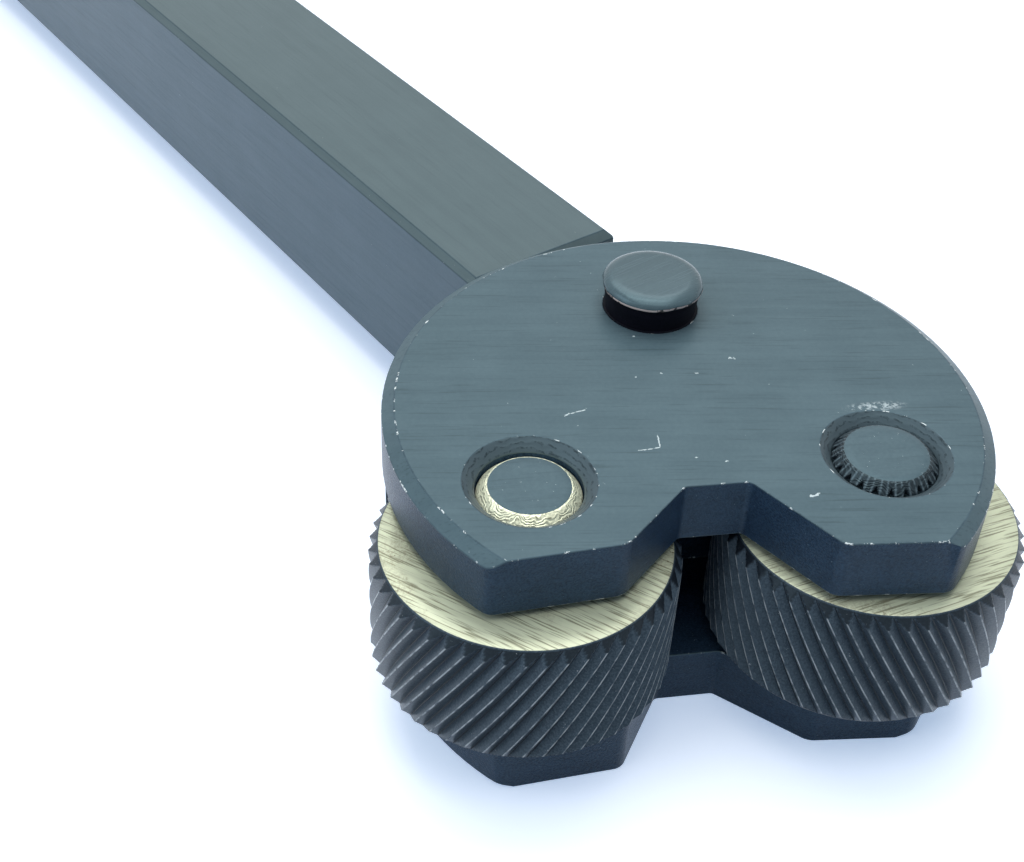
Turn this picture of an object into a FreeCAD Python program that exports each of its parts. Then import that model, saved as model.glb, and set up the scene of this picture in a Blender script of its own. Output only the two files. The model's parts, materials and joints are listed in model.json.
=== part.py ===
import FreeCAD, Part
import math
import os

import Sketcher

# A two-wheel swivel-head knurling tool, lying on the lower face of its head.
# The frame's origin is on the pivot's axis at the head's lower face, +Z runs up the pivot and +Y along
# the shank. Each piece of the head is drawn with the head pointing straight ahead, to -Y, and its
# placement then turns it about the pivot. All lengths are in millimetres.

SIZES = [
    ("head_diameter", 38.0, "outside of the round head"),
    ("head_height", 19.05, "lower face to upper face"),
    ("slot_height", 10.6, "between the upper and the lower cheek"),
    ("rim_bevel_width", 0.8, "edge bevel of the rim, across"),
    ("rim_bevel_height", 0.53, "edge bevel of the rim, down"),
    ("pivot_to_wheels", 16.45, "pivot axis to the line through both wheel pins"),
    ("rim_center_to_wheels", 6.03, "middle of the round rim to that line"),
    ("wheel_spacing", 21.86, "between the axes of the two wheels"),
    ("wheel_diameter", 19.05, "over the teeth"),
    ("wheel_width", 9.525, "thickness of a wheel"),
    ("wheel_drop", 0.52, "upper cheek to the top of a wheel"),
    ("wheel_bore_gap", 0.05, "running clearance of a wheel on its pin, at the radius"),
    ("wheel_face_diameter", 17.85, "ground side face inside the edge bevel"),
    ("wheel_bevel_height", 0.75, "edge bevel of a wheel, along its axis"),
    ("tooth_count", 50, "teeth of a wheel"),
    ("tooth_depth", 0.5, "crest to root"),
    ("tooth_crest_share", 0.12, "share of the pitch that is the flat crest"),
    ("tooth_helix_slope", 0.577, "sideways run of a tooth for each unit of width"),
    ("wheel_room", 0.6, "clearance of the web behind a wheel, at the radius"),
    ("web_front", 7.0, "front of the web's middle, behind the line of the wheels"),
    ("notch_half_width", 1.97, "half the back of the front notch"),
    ("notch_back", 1.58, "back of the notch, in front of the line of the wheels"),
    ("upper_left_corner_x", 6.25, "notch corner of the upper cheek's left flat, sideways"),
    ("upper_left_corner_y", 5.85, "the same corner, in front of the line of the wheels"),
    ("upper_right_corner_x", 5.92, "notch corner of the upper cheek's right flat, sideways"),
    ("upper_right_corner_y", 7.35, "the same corner, in front of the line of the wheels"),
    ("lower_left_corner_x", 5.3, "notch corner of the lower cheek's left flat, sideways"),
    ("lower_left_corner_y", 6.85, "the same corner, in front of the line of the wheels"),
    ("lower_right_corner_x", 7.2, "notch corner of the lower cheek's right flat, sideways"),
    ("lower_right_corner_y", 6.25, "the same corner, in front of the line of the wheels"),
    ("flat_slope", 0.08, "forward run of a front flat for each unit outwards"),
    ("notch_fillet", 0.5, "radius of the notch's inner corners"),
    ("pin_diameter", 6.35, "plain part of a wheel pin, and body of the pivot rivet"),
    ("pin_hole_gap", 0.075, "pin to the hole in the cheeks, at the radius"),
    ("pin_recess", 0.4, "depth of a pin's plain end below the head's face"),
    ("pin_bevel_width", 0.65, "bevel on a pin's ends, across"),
    ("pin_bevel_height", 0.67, "bevel on a pin's ends, along"),
    ("spline_count", 21, "teeth on the splined end of a pin"),
    ("spline_length", 4.0, "length of the splined end"),
    ("spline_depth", 0.35, "depth of the gaps between the spline's teeth"),
    ("spline_gap_width", 0.5, "width of those gaps at the outside"),
    ("countersink_diameter", 8.0, "mouth of the pin holes"),
    ("countersink_depth", 0.65, "depth of the countersinks"),
    ("rivet_proud", 2.5, "top of the rivet above the head"),
    ("rivet_neck", 1.9, "height of the rivet's bare neck above the head"),
    ("rivet_cap_diameter", 6.8, "spread cap of the rivet"),
    ("rivet_cap_fillet", 0.55, "rounding of the cap's edge"),
    ("rivet_foot_diameter", 7.6, "lower end of the rivet, spread flush with the head"),
    ("rivet_foot_depth", 0.8, "depth of that spread end"),
    ("rivet_turn_gap", 0.05, "running clearance of the shank on the rivet, at the radius"),
    ("shank_width", 12.7, "across the shank, square to the pivot"),
    ("shank_height", 14.0, "along the pivot"),
    ("shank_reach", 112.0, "pivot axis to the shank's end"),
    ("shank_bevel", 0.5, "bevel on the shank's long edges and its end"),
    ("shoulder_to_pivot", 11.35, "pivot axis to the shoulders of the shank"),
    ("shoulder_bevel", 0.6, "bevel on the shoulders' edges"),
    ("tongue_gap", 0.1, "tongue to either cheek"),
    ("tongue_relief", 0.2, "step from the shank's sides in to the tongue's"),
    ("tongue_room", 0.4, "clearance of the web round the tongue"),
    ("swivel_stop", 44.0, "swing of the shank each way to the web, in degrees"),
    ("swivel_at_rest", 27.0, "turn of the head from the shank's line at rest, in degrees"),
]

doc = FreeCAD.newDocument("KnurlingTool")
sheet = doc.addObject("Spreadsheet::Sheet", "Sizes")
for row, (alias, value, meaning) in enumerate(SIZES, start=1):
    sheet.set(f"A{row}", meaning)
    sheet.set(f"B{row}", str(value))
    sheet.setAlias(f"B{row}", alias)
doc.recompute()


def new_body(name):
    """An empty body whose label is its node's name."""
    body = doc.addObject("PartDesign::Body", name)
    body.Label = name
    return body


def new_sketch(body, name, role, offset=None):
    """A sketch on one of the body's own origin planes, moved by expressions for x, y and z."""
    sketch = body.newObject("Sketcher::SketchObject", name)
    plane = next(part for part in body.Origin.OriginFeatures if part.Role == role)
    sketch.AttachmentSupport = [(plane, "")]
    sketch.MapMode = "FlatFace"
    for axis, text in (offset or {}).items():
        sketch.setExpression(f"AttachmentOffset.Base.{axis}", text)
    return sketch


def place_point(sketch, geometry, point, corner):
    """Holds one point of a sketch at a pair of expressions, measured from the sketch's origin."""
    for kind, text in zip(("DistanceX", "DistanceY"), corner):
        index = sketch.addConstraint(Sketcher.Constraint(kind, -1, 1, geometry, point, 1.0))
        sketch.setExpression(f"Constraints[{index}]", text)


def draw_outline(sketch, corners):
    """A closed polygon through corners given as pairs of expressions."""
    first = sketch.GeometryCount
    count = len(corners)
    for index in range(count):
        start = 2.0 * math.pi * index / count
        end = 2.0 * math.pi * (index + 1) / count
        sketch.addGeometry(
            Part.LineSegment(
                FreeCAD.Vector(math.cos(start), math.sin(start), 0),
                FreeCAD.Vector(math.cos(end), math.sin(end), 0),
            )
        )
    for index in range(count):
        following = first + (index + 1) % count
        sketch.addConstraint(Sketcher.Constraint("Coincident", first + index, 2, following, 1))
    for index, corner in enumerate(corners):
        place_point(sketch, first + index, 1, corner)


def draw_circle(sketch, center, radius):
    """A circle whose centre and radius are expressions."""
    circle = Part.Circle(FreeCAD.Vector(1, 1, 0), FreeCAD.Vector(0, 0, 1), 1.0)
    geometry = sketch.addGeometry(circle)
    place_point(sketch, geometry, 3, center)
    index = sketch.addConstraint(Sketcher.Constraint("Radius", geometry, 1.0))
    sketch.setExpression(f"Constraints[{index}]", radius)


def turn(body, name, sketch, groove=False):
    """Turns a sketch's outline through a full circle about the sketch's own upright axis."""
    feature = body.newObject("PartDesign::Groove" if groove else "PartDesign::Revolution", name)
    feature.Profile = sketch
    feature.ReferenceAxis = (sketch, ["V_Axis"])
    feature.Angle = 360
    sketch.Visibility = False
    return feature


def cut(body, name, sketch, length=None, upwards=False):
    """Cuts a sketch's outline out of the body, to a depth or right through it."""
    feature = body.newObject("PartDesign::Pocket", name)
    feature.Profile = sketch
    feature.Reversed = upwards
    if length is None:
        feature.Type = "ThroughAll"
    else:
        feature.setExpression("Length", length)
    return feature


def add_slab(body, name, sketch, width):
    """Adds a sketch's outline to the body as a slab, half its width to either side of the sketch."""
    feature = body.newObject("PartDesign::Pad", name)
    feature.Profile = sketch
    feature.Midplane = True
    feature.setExpression("Length", width)
    return feature


def round_edges(body, name, base, edges, size, kind="Fillet"):
    """Rounds or bevels the named edges of the base feature."""
    feature = body.newObject(f"PartDesign::{kind}", name)
    feature.Base = (base, edges)
    feature.setExpression("Radius" if kind == "Fillet" else "Size", size)
    return feature


def edges_where(shape, test):
    """Names of the edges whose midpoint and end points pass a test."""
    names = []
    for index, edge in enumerate(shape.Edges, start=1):
        middle = edge.valueAt((edge.FirstParameter + edge.LastParameter) / 2)
        if test(middle, edge):
            names.append(f"Edge{index}")
    return names


def near(first, second):
    """True if two lengths are the same within a hair."""
    return abs(first - second) < 1e-4


# ---- Sizes that several pieces share, as expressions ----
PIN_RADIUS = "Sizes.pin_diameter / 2"
HOLE_RADIUS = f"{PIN_RADIUS} + Sizes.pin_hole_gap"
TURN_RADIUS = f"{PIN_RADIUS} + Sizes.rivet_turn_gap"
PIN_LINE = "-Sizes.pivot_to_wheels"
SIDES = {"left": "-Sizes.wheel_spacing / 2", "right": "Sizes.wheel_spacing / 2"}
FAR = "Sizes.head_diameter"
SLOT_TOP = "(Sizes.head_height + Sizes.slot_height) / 2"
SLOT_FLOOR = "(Sizes.head_height - Sizes.slot_height) / 2"
WHEEL_FLOOR = f"{SLOT_TOP} - Sizes.wheel_drop - Sizes.wheel_width"
TONGUE_RADIUS = "(Sizes.shank_width / 2 - Sizes.tongue_relief)"


# ---- The head: one block with a slot in front for the wheels and one behind for the tongue ----
def front_cut(cheek):
    """Outline of what the two front flats and the notch take away from one cheek."""
    left_x = f"-Sizes.{cheek}_left_corner_x"
    left_y = f"{PIN_LINE} - Sizes.{cheek}_left_corner_y"
    right_x = f"Sizes.{cheek}_right_corner_x"
    right_y = f"{PIN_LINE} - Sizes.{cheek}_right_corner_y"
    left_end_y = f"{left_y} - Sizes.flat_slope * ({FAR} + ({left_x}))"
    right_end_y = f"{right_y} - Sizes.flat_slope * ({FAR} - ({right_x}))"
    notch_y = f"{PIN_LINE} - Sizes.notch_back"
    return [
        (f"-{FAR}", left_end_y),
        (left_x, left_y),
        ("-Sizes.notch_half_width", notch_y),
        ("Sizes.notch_half_width", notch_y),
        (right_x, right_y),
        (FAR, right_end_y),
        (FAR, f"-2 * {FAR}"),
        (f"-{FAR}", f"-2 * {FAR}"),
    ]


def make_head():
    """The head block."""
    body = new_body("head")
    rim = "Sizes.head_diameter / 2"
    rim_center = {"z": "Sizes.pivot_to_wheels - Sizes.rim_center_to_wheels"}
    disc = new_sketch(body, "disc_section", "XZ_Plane", rim_center)
    inner = f"{rim} - Sizes.rim_bevel_width"
    top = "Sizes.head_height"
    draw_outline(
        disc,
        [
            ("0", "0"),
            (inner, "0"),
            (rim, "Sizes.rim_bevel_height"),
            (rim, f"{top} - Sizes.rim_bevel_height"),
            (inner, top),
            ("0", top),
        ],
    )
    turn(body, "disc", disc)

    upper = new_sketch(body, "upper_front_outline", "XY_Plane", {"z": top})
    draw_outline(upper, front_cut("upper"))
    cut(body, "upper_front", upper, f"{top} / 2")
    lower = new_sketch(body, "lower_front_outline", "XY_Plane")
    draw_outline(lower, front_cut("lower"))
    cut(body, "lower_front", lower, f"{top} / 2", upwards=True)

    room_radius = "(Sizes.wheel_diameter / 2 + Sizes.wheel_room)"
    step_x = "Sizes.wheel_spacing / 2"
    step_y = f"{PIN_LINE} + {room_radius}"
    web_y = f"{PIN_LINE} + Sizes.web_front"
    slot = new_sketch(body, "front_slot_outline", "XY_Plane", {"z": SLOT_TOP})
    draw_outline(
        slot,
        [
            (f"-{FAR}", step_y),
            (f"-{step_x}", step_y),
            (f"-{step_x}", web_y),
            (step_x, web_y),
            (step_x, step_y),
            (FAR, step_y),
            (FAR, f"-2 * {FAR}"),
            (f"-{FAR}", f"-2 * {FAR}"),
        ],
    )
    cut(body, "front_slot", slot, "Sizes.slot_height")
    for side, side_x in SIDES.items():
        room = new_sketch(body, f"{side}_wheel_room_outline", "XY_Plane", {"z": SLOT_TOP})
        draw_circle(room, (side_x, PIN_LINE), room_radius)
        cut(body, f"{side}_wheel_room", room, "Sizes.slot_height")

    reach = f"({TONGUE_RADIUS} + Sizes.tongue_room)"
    stop_cos = "cos(Sizes.swivel_stop * 1 deg)"
    stop_sin = "sin(Sizes.swivel_stop * 1 deg)"
    wall_x = f"({reach} * {stop_cos})"
    wall_y = f"-{reach} * {stop_sin}"
    end_x = f"({wall_x} + {FAR} * {stop_sin})"
    end_y = f"{wall_y} + {FAR} * {stop_cos}"
    swing = new_sketch(body, "tongue_swing_outline", "XY_Plane", {"z": SLOT_TOP})
    draw_outline(swing, [(f"-{wall_x}", wall_y), (wall_x, wall_y), (end_x, end_y), (f"-{end_x}", end_y)])
    cut(body, "tongue_swing", swing, "Sizes.slot_height")
    pocket = new_sketch(body, "tongue_pocket_outline", "XY_Plane", {"z": SLOT_TOP})
    draw_circle(pocket, ("0", "0"), reach)
    cut(body, "tongue_pocket", pocket, "Sizes.slot_height")

    bores = new_sketch(body, "bore_circles", "XY_Plane", {"z": top})
    draw_circle(bores, ("0", "0"), PIN_RADIUS)
    for side_x in SIDES.values():
        draw_circle(bores, (side_x, PIN_LINE), HOLE_RADIUS)
    cut(body, "bores", bores)
    foot = new_sketch(body, "rivet_foot_section", "XZ_Plane")
    draw_outline(
        foot,
        [
            ("0", "0"),
            ("Sizes.rivet_foot_diameter / 2", "0"),
            (PIN_RADIUS, "Sizes.rivet_foot_depth"),
            ("0", "Sizes.rivet_foot_depth"),
        ],
    )
    turn(body, "rivet_foot_sink", foot, groove=True)
    mouth = "Sizes.countersink_diameter / 2"
    for side, side_x in SIDES.items():
        at_pin = {"x": side_x, "z": "Sizes.pivot_to_wheels"}
        for face, level, inwards in (("lower", "0", "+"), ("upper", top, "-")):
            sink = new_sketch(body, f"{side}_{face}_sink_section", "XZ_Plane", at_pin)
            depth = f"{level} {inwards} Sizes.countersink_depth"
            draw_outline(sink, [("0", level), (mouth, level), (HOLE_RADIUS, depth), ("0", depth)])
            turn(body, f"{side}_{face}_sink", sink, groove=True)
    doc.recompute()

    corner_x = sheet.get("notch_half_width")
    corner_y = -sheet.get("pivot_to_wheels") - sheet.get("notch_back")

    def is_notch_corner(middle, edge):
        ends = [vertex.Point for vertex in edge.Vertexes]
        upright = len(ends) == 2 and near(ends[0].x, ends[1].x) and near(ends[0].y, ends[1].y)
        return upright and near(abs(middle.x), corner_x) and near(middle.y, corner_y)

    corners = edges_where(body.Tip.Shape, is_notch_corner)
    round_edges(body, "notch_corners", body.Tip, corners, "Sizes.notch_fillet")
    return body


# ---- The pins ----
def make_wheel_pin(side, splined_end):
    """A wheel pin with one splined end, driven into the cheek at that end, and one plain end."""
    body = new_body(f"{side}_wheel_pin")
    splines_up = splined_end == "upper"
    foot = "Sizes.pin_recess" if splines_up else "0"
    top = "Sizes.head_height" if splines_up else "Sizes.head_height - Sizes.pin_recess"
    tip = HOLE_RADIUS
    shaft_end_low = PIN_RADIUS if splines_up else tip
    shaft_end_high = tip if splines_up else PIN_RADIUS
    start = "Sizes.head_height - Sizes.spline_length" if splines_up else "Sizes.spline_length"
    at_pin = {"x": SIDES[side], "z": "Sizes.pivot_to_wheels"}
    section = new_sketch(body, "pin_section", "XZ_Plane", at_pin)
    draw_outline(
        section,
        [
            ("0", foot),
            (f"{shaft_end_low} - Sizes.pin_bevel_width", foot),
            (shaft_end_low, f"{foot} + Sizes.pin_bevel_height"),
            (shaft_end_low, start),
            (shaft_end_high, start),
            (shaft_end_high, f"{top} - Sizes.pin_bevel_height"),
            (f"{shaft_end_high} - Sizes.pin_bevel_width", top),
            ("0", top),
        ],
    )
    turn(body, "pin_turned", section)
    groove = new_sketch(
        body,
        "spline_gap_outline",
        "XY_Plane",
        {"x": SIDES[side], "y": PIN_LINE, "z": top if splines_up else foot},
    )
    root = f"{tip} - Sizes.spline_depth"
    beyond = f"{tip} + Sizes.spline_depth"
    half_gap = "Sizes.spline_gap_width"
    draw_outline(groove, [(root, "0"), (beyond, half_gap), (beyond, f"-{half_gap}")])
    gap = cut(body, "spline_gap", groove, "Sizes.spline_length", upwards=not splines_up)
    pattern = body.newObject("PartDesign::PolarPattern", "spline_gaps")
    pattern.Originals = [gap]
    pattern.Axis = (groove, ["N_Axis"])
    pattern.Angle = 360
    pattern.setExpression("Occurrences", "Sizes.spline_count")
    body.Tip = pattern
    return body


def make_pivot_rivet():
    """The rivet: a plain body with a spread cap above the head and a flush spread foot below it."""
    body = new_body("pivot_rivet")
    section = new_sketch(body, "rivet_section", "XZ_Plane")
    cap = "Sizes.rivet_cap_diameter / 2"
    neck = "Sizes.head_height + Sizes.rivet_neck"
    top = "Sizes.head_height + Sizes.rivet_proud"
    draw_outline(
        section,
        [
            ("0", "0"),
            ("Sizes.rivet_foot_diameter / 2", "0"),
            (PIN_RADIUS, "Sizes.rivet_foot_depth"),
            (PIN_RADIUS, neck),
            (cap, neck),
            (cap, top),
            ("0", top),
        ],
    )
    turned = turn(body, "rivet_turned", section)
    doc.recompute()
    top_level = sheet.get("head_height") + sheet.get("rivet_proud")
    rims = edges_where(turned.Shape, lambda middle, edge: near(middle.z, top_level) and edge.Closed)
    round_edges(body, "cap_edge", turned, rims, "Sizes.rivet_cap_fillet")
    return body


# ---- The wheels ----
def toothed_bar(name, side, slope):
    """A bar with straight-sided slanting teeth, a little longer than the wheel is wide.

    Each cross-section is the same toothed ring of points, turned in proportion to its height.
    """
    radius = sheet.get("wheel_diameter") / 2
    root = radius - sheet.get("tooth_depth")
    count = int(sheet.get("tooth_count"))
    pitch = 2.0 * math.pi / count
    half_crest = pitch * sheet.get("tooth_crest_share") / 2
    width = sheet.get("wheel_width")
    sections = 5
    rings = []
    for section in range(sections):
        height = width * section / (sections - 1)
        start = height * slope / radius
        ring = []
        for tooth in range(count):
            crest = start + tooth * pitch
            for angle, reach in ((crest - half_crest, radius), (crest + half_crest, radius), (crest + pitch / 2, root)):
                ring.append(FreeCAD.Vector(reach * math.cos(angle), reach * math.sin(angle), height))
        rings.append(Part.makePolygon(ring + ring[:1]))
    bar = doc.addObject("Part::Feature", name)
    bar.Shape = Part.makeLoft(rings, True, True)
    place_at_wheel(bar, side)
    return bar


def place_at_wheel(piece, side):
    """Moves a piece drawn about its own axis to a wheel's place in the head."""
    piece.setExpression("Placement.Base.x", SIDES[side])
    piece.setExpression("Placement.Base.y", PIN_LINE)
    piece.setExpression("Placement.Base.z", WHEEL_FLOOR)


def make_wheel(side, slope):
    """A knurl wheel: the toothed bar kept where a bored and edge-bevelled blank is."""
    blank = doc.addObject("PartDesign::Body", f"{side}_wheel_blank")
    section = new_sketch(blank, "blank_section", "XZ_Plane")
    bore = f"{PIN_RADIUS} + Sizes.wheel_bore_gap"
    rim = "Sizes.wheel_diameter / 2"
    face = "Sizes.wheel_face_diameter / 2"
    high = "Sizes.wheel_width"
    low_bevel = "Sizes.wheel_bevel_height"
    high_bevel = f"{high} - Sizes.wheel_bevel_height"
    draw_outline(
        section,
        [(bore, "0"), (face, "0"), (rim, low_bevel), (rim, high_bevel), (face, high), (bore, high)],
    )
    turn(blank, "blank_turned", section)
    place_at_wheel(blank, side)
    wheel = doc.addObject("Part::Common", f"{side}_knurl_wheel")
    wheel.Label = f"{side}_knurl_wheel"
    wheel.Base = toothed_bar(f"{side}_toothed_bar", side, slope)
    wheel.Tool = blank
    return wheel


# ---- The shank, which runs straight back from the pivot ----
def make_shank():
    """The shank: a bar with a thinner round-ended tongue that turns on the rivet."""
    body = new_body("shank")
    tongue_low = f"{SLOT_FLOOR} + Sizes.tongue_gap"
    tongue_high = f"{SLOT_TOP} - Sizes.tongue_gap"
    bar_low = "(Sizes.head_height - Sizes.shank_height) / 2"
    bar_high = "(Sizes.head_height + Sizes.shank_height) / 2"
    shoulder = "Sizes.shoulder_to_pivot"
    ramp = "Sizes.shoulder_bevel"
    side_view = new_sketch(body, "side_outline", "YZ_Plane")
    draw_outline(
        side_view,
        [
            (shoulder, f"{bar_low} + {ramp}"),
            (f"{shoulder} + {ramp}", bar_low),
            ("Sizes.shank_reach", bar_low),
            ("Sizes.shank_reach", bar_high),
            (f"{shoulder} + {ramp}", bar_high),
            (shoulder, f"{bar_high} - {ramp}"),
        ],
    )
    add_slab(body, "bar", side_view, "Sizes.shank_width")
    tongue_end_y = f"{shoulder} + {TONGUE_RADIUS}"
    tongue_view = new_sketch(body, "tongue_outline", "YZ_Plane")
    draw_outline(
        tongue_view,
        [("0", tongue_low), (tongue_end_y, tongue_low), (tongue_end_y, tongue_high), ("0", tongue_high)],
    )
    add_slab(body, "tongue", tongue_view, f"2 * {TONGUE_RADIUS}")
    end_circle = new_sketch(body, "tongue_end_circle", "XY_Plane", {"z": tongue_low})
    draw_circle(end_circle, ("0", "0"), TONGUE_RADIUS)
    tongue_end = body.newObject("PartDesign::Pad", "tongue_end")
    tongue_end.Profile = end_circle
    tongue_end.setExpression("Length", f"{tongue_high} - ({tongue_low})")
    bore = new_sketch(body, "rivet_bore_circle", "XY_Plane", {"z": "Sizes.head_height"})
    draw_circle(bore, ("0", "0"), TURN_RADIUS)
    bored = cut(body, "rivet_bore", bore)
    doc.recompute()

    half = sheet.get("shank_width") / 2
    low = (sheet.get("head_height") - sheet.get("shank_height")) / 2
    high = (sheet.get("head_height") + sheet.get("shank_height")) / 2
    end = sheet.get("shank_reach")

    def is_outer_edge(middle, edge):
        at_side = near(abs(middle.x), half)
        at_face = near(middle.z, low) or near(middle.z, high)
        long_edge = at_side and at_face and edge.Length > end / 2
        end_edge = near(middle.y, end) and (at_side or at_face)
        return long_edge or end_edge

    outer = edges_where(bored.Shape, is_outer_edge)
    round_edges(body, "bar_bevels", bored, outer, "Sizes.shank_bevel", kind="Chamfer")
    return body


def check_document():
    """Stops the build if any object failed to compute."""
    for item in doc.Objects:
        if "Invalid" in item.State or "Error" in item.State:
            raise RuntimeError(f"{item.Name} did not compute: {item.State}")


def write_piece(piece, head_turn):
    """Turns a piece of the head about the pivot, checks its solid and writes its file."""
    if head_turn:
        piece.Placement = FreeCAD.Placement(
            FreeCAD.Vector(0, 0, 0), FreeCAD.Rotation(FreeCAD.Vector(0, 0, 1), -head_turn)
        )
    doc.recompute()
    check_document()
    shape = piece.Shape
    if shape.isNull() or not shape.isValid() or len(shape.Solids) != 1:
        raise RuntimeError(f"{piece.Label} is not one valid solid")
    shape.exportStep(os.path.join("parts", f"{piece.Label}.step"))
    box = shape.BoundBox
    print(
        f"{piece.Label}: volume {shape.Volume:.1f}, x {box.XMin:.2f} to {box.XMax:.2f},"
        f" y {box.YMin:.2f} to {box.YMax:.2f}, z {box.ZMin:.2f} to {box.ZMax:.2f}"
    )


def main():
    """Builds every piece and writes its STEP file."""
    helix = sheet.get("tooth_helix_slope")
    shank = make_shank()
    head_pieces = [
        make_head(),
        make_pivot_rivet(),
        make_wheel_pin("left", "lower"),
        make_wheel_pin("right", "upper"),
        make_wheel("left", helix),
        make_wheel("right", -helix),
    ]
    doc.recompute()
    check_document()
    os.makedirs("parts", exist_ok=True)
    write_piece(shank, 0.0)
    for piece in head_pieces:
        write_piece(piece, sheet.get("swivel_at_rest"))


main()
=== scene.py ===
"""The looks of a swivel-head knurling tool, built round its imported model.

The head, the wheels, the pins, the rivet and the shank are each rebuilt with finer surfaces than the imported
model has, in the same places, and given a blackened or ground steel finish. Lengths are in metres; the
values that are easier to read in millimetres are written as a number times MM.
"""

import json
import logging
import math
from collections.abc import Callable
from dataclasses import dataclass, field
from enum import Enum

import bmesh
import bpy
import numpy as np
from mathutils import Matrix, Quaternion, Vector


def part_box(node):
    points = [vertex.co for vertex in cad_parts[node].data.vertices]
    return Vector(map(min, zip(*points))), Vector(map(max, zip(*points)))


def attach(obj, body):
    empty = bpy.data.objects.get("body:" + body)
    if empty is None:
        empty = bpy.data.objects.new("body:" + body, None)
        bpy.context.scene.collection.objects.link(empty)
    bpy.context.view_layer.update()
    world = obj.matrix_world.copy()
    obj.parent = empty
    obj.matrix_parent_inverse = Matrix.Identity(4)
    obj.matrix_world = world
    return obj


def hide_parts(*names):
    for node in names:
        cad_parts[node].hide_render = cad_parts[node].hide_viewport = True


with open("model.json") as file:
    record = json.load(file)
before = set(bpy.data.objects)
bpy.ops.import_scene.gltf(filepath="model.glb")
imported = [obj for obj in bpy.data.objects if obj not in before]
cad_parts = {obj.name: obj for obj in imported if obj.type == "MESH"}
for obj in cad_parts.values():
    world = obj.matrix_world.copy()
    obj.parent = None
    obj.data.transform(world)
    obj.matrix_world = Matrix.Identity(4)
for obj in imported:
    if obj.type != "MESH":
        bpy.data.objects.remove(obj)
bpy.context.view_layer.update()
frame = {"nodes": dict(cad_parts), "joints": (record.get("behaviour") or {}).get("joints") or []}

MM = 0.001
Color = tuple[float, float, float]
Array = np.ndarray
Piece = bpy.types.Object
Socket = bpy.types.NodeSocket
log = logging.getLogger("knurling_tool")


class WheelSide(Enum):
    """Which of the two wheels, with the way that its teeth lean."""

    LEFT = 1.0
    RIGHT = -1.0


class SplinedEnd(Enum):
    """Which end of a wheel pin is splined and driven into its cheek."""

    LOWER = "lower"
    UPPER = "upper"


# ---- Surfaces ----


def signed_volume(points: Array, triangles: Array) -> float:
    """Volume inside a closed set of triangles: the sum of a . (b x c) / 6, positive when they face outwards.

    Args:
        points: Corner positions, one per row.
        triangles: Three corner numbers per row.

    Returns:
        The volume, in cubic metres.
    """
    a, b, c = (points[triangles[:, k]] for k in range(3))
    return float(np.einsum("ij,ij->i", a, np.cross(b, c)).sum() / 6.0)


def ring_surface(name: str, rings: Array, masks: dict[str, Array], wrap: bool) -> Piece:
    """Joins a stack of rings into one closed surface that faces outwards.

    Point (i, j) is on ring i, a share j / n of the way round. Each face joins (i, j), (i, j + 1),
    (i + 1, j + 1) and (i + 1, j). The last ring joins the first one when the stack wraps, and otherwise a fan
    to the ring's middle closes either end.

    Args:
        name: Name of the new object.
        rings: Positions, indexed by ring, place round the ring and axis.
        masks: Values to keep on the points, each indexed by ring and place.
        wrap: Whether the last ring joins the first.

    Returns:
        The new object, with one face attribute "ring" that holds each face's ring number.
    """
    levels, around = rings.shape[:2]
    points = rings.reshape(-1, 3)
    strips = levels if wrap else levels - 1
    i = np.repeat(np.arange(strips), around)
    j = np.tile(np.arange(around), strips)
    following = (j + 1) % around
    above = (i + 1) % levels
    low_row, high_row = i * around, above * around
    quads = np.stack([low_row + j, low_row + following, high_row + following, high_row + j], 1)
    faces = quads.tolist()
    ring_of_face = i.tolist()
    corners = np.concatenate([quads[:, [0, 1, 2]], quads[:, [0, 2, 3]]])
    if not wrap:
        middles = np.stack([rings[0].mean(0), rings[-1].mean(0)])
        count = len(points)
        points = np.concatenate([points, middles])
        place = np.arange(around)
        beside = (place + 1) % around
        last = (levels - 1) * around
        low = np.stack([np.full(around, count), beside, place], 1)
        high = np.stack([np.full(around, count + 1), last + place, last + beside], 1)
        faces += low.tolist() + high.tolist()
        ring_of_face += [0] * around + [levels - 1] * around
        corners = np.concatenate([corners, low, high])
    if signed_volume(points, corners) < 0:
        faces = [face[::-1] for face in faces]
    mesh = bpy.data.meshes.new(name)
    mesh.from_pydata(points.tolist(), [], faces)
    number = mesh.attributes.new("ring", "INT", "FACE")
    number.data.foreach_set("value", np.array(ring_of_face, np.int32))
    for mask_name, values in masks.items():
        flat = values.astype(np.float32).ravel()
        if not wrap:
            flat = np.concatenate([flat, [flat[0], flat[-1]]])
        mask = mesh.attributes.new(mask_name, "FLOAT", "POINT")
        mask.data.foreach_set("value", flat)
    mesh.validate()
    made = bpy.data.objects.new(name, mesh)
    bpy.context.scene.collection.objects.link(made)
    return made


def ring_numbers(piece: Piece) -> Array:
    """Ring number of each face of a piece that ring_surface made."""
    ring = np.zeros(len(piece.data.polygons), np.int32)
    piece.data.attributes["ring"].data.foreach_get("value", ring)
    return ring


def shade_smooth(piece: Piece, sharp_angle: float) -> None:
    """Smooths a piece's shading, except over edges sharper than an angle in radians."""
    mesh = piece.data
    mesh.polygons.foreach_set("use_smooth", np.ones(len(mesh.polygons), bool))
    mesh.set_sharp_from_angle(angle=sharp_angle)


def turned_rings(radii: Array, heights: Array, angles: Array, center: Array) -> Array:
    """Points of a turned surface: center + (r cos a, r sin a, z).

    Args:
        radii: Radius by ring and place, or by ring alone.
        heights: Height of each ring.
        angles: Angle by ring and place, or by place alone, in radians.
        center: Position of the axis, x and y.

    Returns:
        Positions, indexed by ring, place and axis.
    """
    levels = len(heights)
    around = angles.shape[-1]
    r = np.broadcast_to(radii.reshape(levels, -1), (levels, around))
    a = np.broadcast_to(angles, (levels, around))
    z = np.broadcast_to(heights[:, None], (levels, around))
    return np.stack([center[0] + r * np.cos(a), center[1] + r * np.sin(a), z], -1)


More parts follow.
